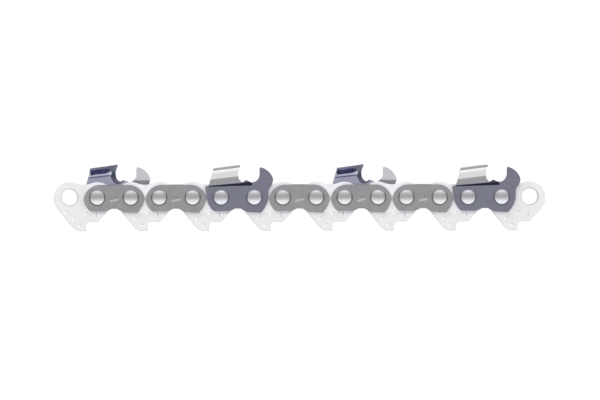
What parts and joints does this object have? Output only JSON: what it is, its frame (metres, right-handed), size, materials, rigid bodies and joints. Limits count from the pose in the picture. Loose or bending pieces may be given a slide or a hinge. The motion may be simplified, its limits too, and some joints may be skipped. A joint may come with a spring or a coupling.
{
  "type": "saw chain length",
  "caption": "Open length of saw chain: pointed drive links riveted between tie straps and round-ground cutters with depth gauges, free to bend at every rivet",
  "frame": {"origin": "centre of the open pin hole at the left end, half way through the drive link", "axes": "+X along the chain in its direction of travel, +Y towards the cutting side, +Z along the rivets towards the right-hand links"},
  "size_m": [0.1516, 0.0204, 0.0078],
  "materials": {
    "drive_link": "ground and polished, bright",
    "tie_strap": "heat treated, matte grey",
    "cutter": "hard chrome plated, satin, blue grey",
    "rivet": "spun, bright"
  },
  "bodies": {
    "link_pair_1": {"right_strap_1": "tie_strap", "left_cutter_1": "cutter", "rivet_1": "rivet", "rivet_2": "rivet"},
    "link_pair_2": {"right_strap_2": "tie_strap", "left_strap_2": "tie_strap", "rivet_3": "rivet", "rivet_4": "rivet"},
    "link_pair_3": {"right_cutter_3": "cutter", "left_strap_3": "tie_strap", "rivet_5": "rivet", "rivet_6": "rivet"},
    "link_pair_4": {"right_strap_4": "tie_strap", "left_strap_4": "tie_strap", "rivet_7": "rivet", "rivet_8": "rivet"},
    "link_pair_5": {"right_strap_5": "tie_strap", "left_cutter_5": "cutter", "rivet_9": "rivet", "rivet_10": "rivet"},
    "link_pair_6": {"right_strap_6": "tie_strap", "left_strap_6": "tie_strap", "rivet_11": "rivet", "rivet_12": "rivet"},
    "link_pair_7": {"right_cutter_7": "cutter", "left_strap_7": "tie_strap", "rivet_13": "rivet", "rivet_14": "rivet"},
    "drive_1": {"drive_link_1": "drive_link"},
    "drive_2": {"drive_link_2": "drive_link"},
    "drive_3": {"drive_link_3": "drive_link"},
    "drive_4": {"drive_link_4": "drive_link"},
    "drive_5": {"drive_link_5": "drive_link"},
    "drive_6": {"drive_link_6": "drive_link"},
    "drive_7": {"drive_link_7": "drive_link"},
    "drive_8": {"drive_link_8": "drive_link"}
  },
  "joints": [
    {"name": "rivet_7_hinge", "type": "hinge", "parent": "link_pair_4", "child": "drive_4", "pos_m": [0.0659, 0, 0], "axis": [0, 0, 1], "range_deg": [-8, 30]},
    {"name": "rivet_6_hinge", "type": "hinge", "parent": "drive_4", "child": "link_pair_3", "pos_m": [0.05715, 0, 0], "axis": [0, 0, 1], "range_deg": [-8, 30]},
    {"name": "rivet_5_hinge", "type": "hinge", "parent": "link_pair_3", "child": "drive_3", "pos_m": [0.04685, 0, 0], "axis": [0, 0, 1], "range_deg": [-8, 30]},
    {"name": "rivet_4_hinge", "type": "hinge", "parent": "drive_3", "child": "link_pair_2", "pos_m": [0.0381, 0, 0], "axis": [0, 0, 1], "range_deg": [-8, 30]},
    {"name": "rivet_3_hinge", "type": "hinge", "parent": "link_pair_2", "child": "drive_2", "pos_m": [0.0278, 0, 0], "axis": [0, 0, 1], "range_deg": [-8, 30]},
    {"name": "rivet_2_hinge", "type": "hinge", "parent": "drive_2", "child": "link_pair_1", "pos_m": [0.01905, 0, 0], "axis": [0, 0, 1], "range_deg": [-8, 30]},
    {"name": "rivet_1_hinge", "type": "hinge", "parent": "link_pair_1", "child": "drive_1", "pos_m": [0.00875, 0, 0], "axis": [0, 0, 1], "range_deg": [-8, 30]},
    {"name": "rivet_8_hinge", "type": "hinge", "parent": "link_pair_4", "child": "drive_5", "pos_m": [0.0762, 0, 0], "axis": [0, 0, 1], "range_deg": [-30, 8]},
    {"name": "rivet_9_hinge", "type": "hinge", "parent": "drive_5", "child": "link_pair_5", "pos_m": [0.08495, 0, 0], "axis": [0, 0, 1], "range_deg": [-30, 8]},
    {"name": "rivet_10_hinge", "type": "hinge", "parent": "link_pair_5", "child": "drive_6", "pos_m": [0.09525, 0, 0], "axis": [0, 0, 1], "range_deg": [-30, 8]},
    {"name": "rivet_11_hinge", "type": "hinge", "parent": "drive_6", "child": "link_pair_6", "pos_m": [0.104, 0, 0], "axis": [0, 0, 1], "range_deg": [-30, 8]},
    {"name": "rivet_12_hinge", "type": "hinge", "parent": "link_pair_6", "child": "drive_7", "pos_m": [0.1143, 0, 0], "axis": [0, 0, 1], "range_deg": [-30, 8]},
    {"name": "rivet_13_hinge", "type": "hinge", "parent": "drive_7", "child": "link_pair_7", "pos_m": [0.12305, 0, 0], "axis": [0, 0, 1], "range_deg": [-30, 8]},
    {"name": "rivet_14_hinge", "type": "hinge", "parent": "link_pair_7", "child": "drive_8", "pos_m": [0.13335, 0, 0], "axis": [0, 0, 1], "range_deg": [-30, 8]}
  ]
}
